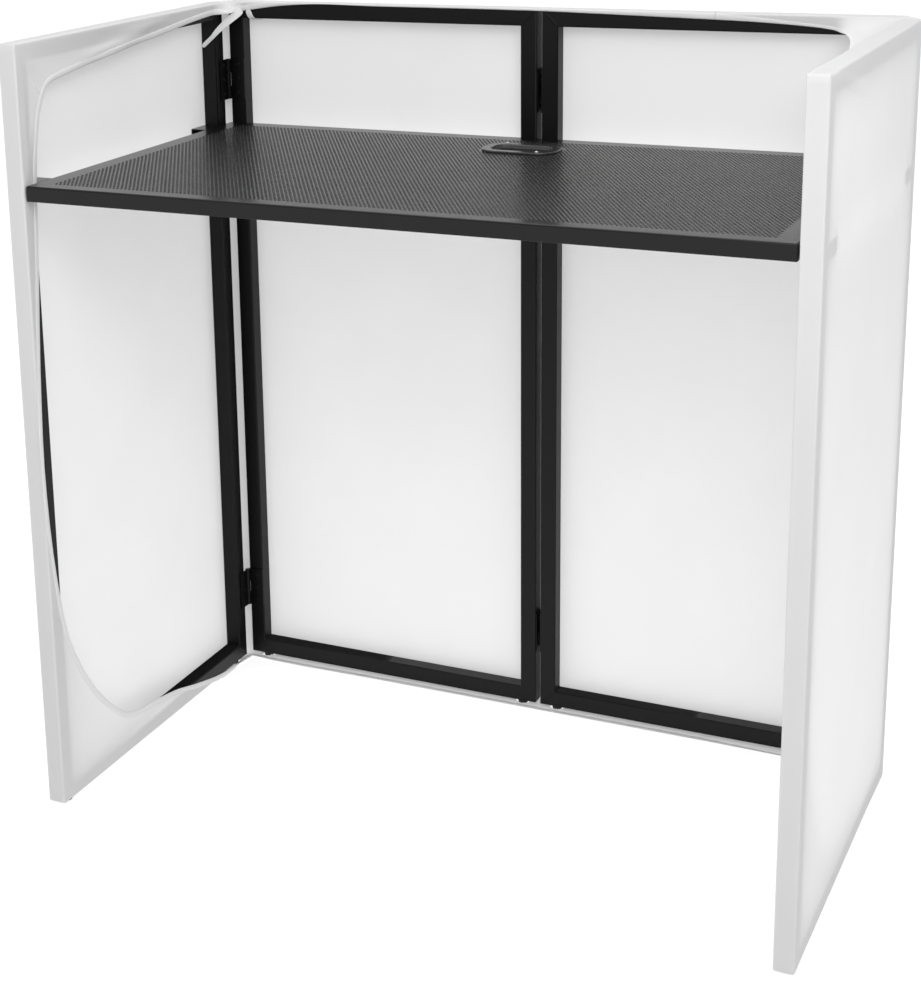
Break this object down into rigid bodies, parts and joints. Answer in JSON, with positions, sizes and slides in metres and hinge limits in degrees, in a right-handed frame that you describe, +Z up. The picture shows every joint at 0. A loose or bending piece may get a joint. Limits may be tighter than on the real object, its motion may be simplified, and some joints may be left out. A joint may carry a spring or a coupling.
{
  "type": "dj booth",
  "caption": "Portable folding performer's booth: hinged square-tube frames in a white stretch cover, with a lift-out perforated steel table between the side frames.",
  "frame": {"origin": "on the floor, under the middle of the booth's bounding box", "axes": "+Z up, +Y towards the audience (the front frames), +X to the operator's right"},
  "size_m": [1.0884, 0.6036, 1.1082],
  "materials": {
    "frame_coat": "satin black powder coat on welded steel tube",
    "hinge_metal": "satin black powder coat over steel hinges and screw heads",
    "table_sheet": "semi-gloss black powder coat on perforated steel sheet",
    "grommet": "moulded black plastic",
    "bright_screws": "bright zinc-plated heads",
    "feet": "matt black plastic",
    "stretch_cover": "white knitted stretch fabric",
    "elastic_strap": "white woven elastic"
  },
  "bodies": {
    "front_left": {"front_left_bottom_rail": "frame_coat", "front_left_top_rail": "frame_coat", "front_left_outer_post": "frame_coat", "front_left_inner_post": "frame_coat", "front_left_feet": "feet", "left_corner_fixed_leaves": "hinge_metal", "left_corner_pins": "hinge_metal", "centre_left_leaves": "hinge_metal", "centre_pins": "hinge_metal", "front_left_hinge_screws": "hinge_metal", "front_left_cover": "stretch_cover", "front_left_strap": "elastic_strap"},
    "front_right": {"front_right_bottom_rail": "frame_coat", "front_right_top_rail": "frame_coat", "front_right_inner_post": "frame_coat", "front_right_outer_post": "frame_coat", "front_right_feet": "feet", "right_corner_fixed_leaves": "hinge_metal", "right_corner_pins": "hinge_metal", "centre_right_leaves": "hinge_metal", "front_right_hinge_screws": "hinge_metal", "front_right_cover": "stretch_cover"},
    "left_side": {"left_side_bottom_rail": "frame_coat", "left_side_top_rail": "frame_coat", "left_side_near_post": "frame_coat", "left_side_far_post": "frame_coat", "left_side_feet": "feet", "left_corner_moving_leaves": "hinge_metal", "left_side_hinge_screws": "hinge_metal", "left_bracket_stubs": "frame_coat", "left_bracket_ledges": "frame_coat", "left_side_cover": "stretch_cover", "left_side_strap": "elastic_strap"},
    "right_side": {"right_side_bottom_rail": "frame_coat", "right_side_top_rail": "frame_coat", "right_side_near_post": "frame_coat", "right_side_far_post": "frame_coat", "right_side_feet": "feet", "right_corner_moving_leaves": "hinge_metal", "right_side_hinge_screws": "hinge_metal", "right_bracket_stubs": "frame_coat", "right_bracket_ledges": "frame_coat", "right_side_cover": "stretch_cover"},
    "table": {"table_pan": "table_sheet", "cable_grommet": "grommet", "grommet_screws": "bright_screws"}
  },
  "joints": [
    {"name": "centre_fold", "type": "hinge", "parent": "front_left", "child": "front_right", "pos_m": [0, 0.29885, 0.55], "axis": [0, 0, 1], "range_deg": [0, 180]},
    {"name": "left_swing", "type": "hinge", "parent": "front_left", "child": "left_side", "pos_m": [-0.517, 0.26585, 0.55], "axis": [0, 0, -1], "range_deg": [0, 90]},
    {"name": "right_swing", "type": "hinge", "parent": "front_right", "child": "right_side", "pos_m": [0.517, 0.26585, 0.55], "axis": [0, 0, 1], "range_deg": [0, 90]},
    {"name": "table_lift", "type": "slide", "parent": "front_left", "child": "table", "axis": [0, -0.9063, 0.4226], "range_m": [0, 0.5]}
  ]
}
